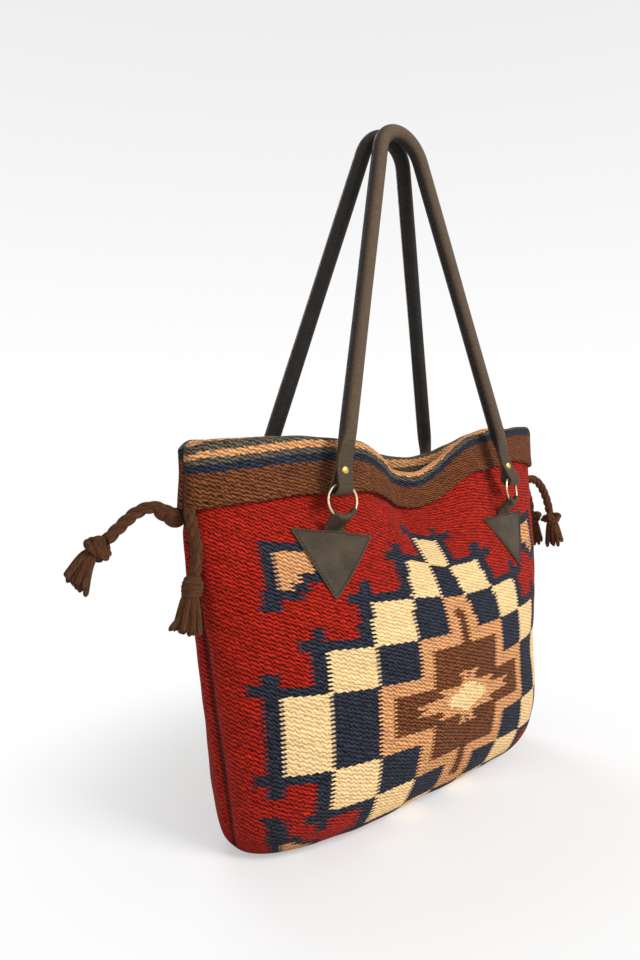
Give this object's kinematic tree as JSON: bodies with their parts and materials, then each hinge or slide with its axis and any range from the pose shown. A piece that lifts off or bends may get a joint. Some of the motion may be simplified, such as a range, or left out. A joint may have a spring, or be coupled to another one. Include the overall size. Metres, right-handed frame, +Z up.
{
  "type": "blanket tote bag",
  "caption": "Open-mouthed tote sewn from one thick woven blanket with turned-out cuffs, carried by rolled leather handles on rings and sewn leather tabs.",
  "frame": {"origin": "middle of the flat base that the filled bag stands on", "axes": "+Z up to the handles, +X to the right along the front, the front faces -Y"},
  "size_m": [0.6365, 0.184, 0.6392],
  "materials": {
    "woven_cloth": "thick ribbed wool weave",
    "cord_yarn": "twisted wool yarn",
    "leather": "dark grained leather, soft sheen",
    "ring_metal": "pale antique plating",
    "rivet_brass": "polished brass",
    "core_rope": "plain cotton rope"
  },
  "bodies": {
    "bag": {"woven_body": "woven_cloth", "front_left_tab": "leather", "front_right_tab": "leather", "back_left_tab": "leather", "back_right_tab": "leather", "front_left_cord": "cord_yarn", "front_right_cord": "cord_yarn", "back_left_cord": "cord_yarn", "back_right_cord": "cord_yarn", "front_left_knot": "cord_yarn", "front_right_knot": "cord_yarn", "back_left_knot": "cord_yarn", "back_right_knot": "cord_yarn", "front_left_brush": "cord_yarn", "front_right_brush": "cord_yarn", "back_left_brush": "cord_yarn", "back_right_brush": "cord_yarn"},
    "front_left_ring": {"front_left_ring": "ring_metal"},
    "front_right_ring": {"front_right_ring": "ring_metal"},
    "front_handle": {"front_handle_sleeve": "leather", "front_handle_core": "core_rope", "front_left_rivet": "rivet_brass", "front_right_rivet": "rivet_brass"},
    "back_left_ring": {"back_left_ring": "ring_metal"},
    "back_right_ring": {"back_right_ring": "ring_metal"},
    "back_handle": {"back_handle_sleeve": "leather", "back_handle_core": "core_rope", "back_left_rivet": "rivet_brass", "back_right_rivet": "rivet_brass"}
  },
  "joints": [
    {"name": "front_left_ring_swing", "type": "hinge", "parent": "bag", "child": "front_left_ring", "pos_m": [-0.1255, -0.05744, 0.277], "axis": [1, 0, 0], "range_deg": [0, 100]},
    {"name": "front_right_ring_swing", "type": "hinge", "parent": "bag", "child": "front_right_ring", "pos_m": [0.1255, -0.05744, 0.277], "axis": [1, 0, 0], "range_deg": [0, 100]},
    {"name": "front_handle_swing", "type": "hinge", "parent": "front_left_ring", "child": "front_handle", "pos_m": [-0.1255, -0.05449, 0.29825], "axis": [1, 0, 0], "range_deg": [0, 70]},
    {"name": "back_left_ring_swing", "type": "hinge", "parent": "bag", "child": "back_left_ring", "pos_m": [-0.1255, 0.05744, 0.277], "axis": [-1, 0, 0], "range_deg": [0, 100]},
    {"name": "back_right_ring_swing", "type": "hinge", "parent": "bag", "child": "back_right_ring", "pos_m": [0.1255, 0.05744, 0.277], "axis": [-1, 0, 0], "range_deg": [0, 100]},
    {"name": "back_handle_swing", "type": "hinge", "parent": "back_left_ring", "child": "back_handle", "pos_m": [-0.1255, 0.05449, 0.29825], "axis": [-1, 0, 0], "range_deg": [0, 70]}
  ],
  "couplings": [
    {"joint": "front_right_ring_swing", "follows": "front_left_ring_swing", "ratio": 1},
    {"joint": "back_right_ring_swing", "follows": "back_left_ring_swing", "ratio": 1}
  ]
}
